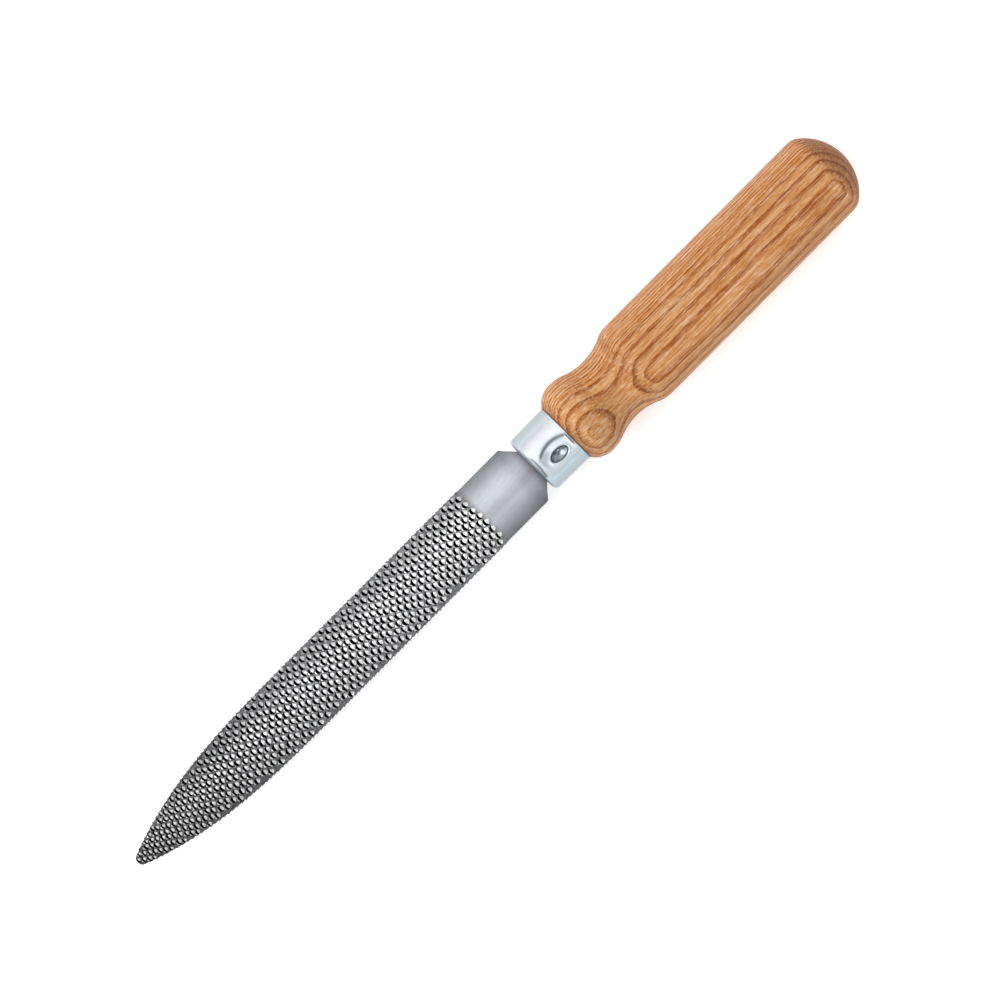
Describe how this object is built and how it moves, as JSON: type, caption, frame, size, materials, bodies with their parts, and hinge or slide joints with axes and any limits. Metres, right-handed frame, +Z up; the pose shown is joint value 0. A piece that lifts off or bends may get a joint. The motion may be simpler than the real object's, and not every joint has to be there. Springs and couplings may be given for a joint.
{
  "type": "half-round wood rasp",
  "caption": "Half-round hand rasp for wood: a tapered toothed steel blade with a smooth heel, a crimped steel ferrule and a turned wooden handle with a bulb, a neck and a rounded butt.",
  "frame": {"origin": "on the handle's axis, at the middle of its straight cylindrical grip", "axes": "+X along the tool towards the blade's tip; +Z up, on the side of the blade's round back, so the flat side faces -Z; +Y across the blade"},
  "size_m": [0.2757, 0.0262, 0.0262],
  "materials": {
    "blade_steel": "fine sandblasted grey steel",
    "ferrule_zinc": "bright zinc plating on drawn steel",
    "handle_wood": "ash, turned and clear lacquered"
  },
  "bodies": {
    "root": {"blade": "blade_steel", "ferrule": "ferrule_zinc", "handle": "handle_wood"}
  },
  "joints": []
}
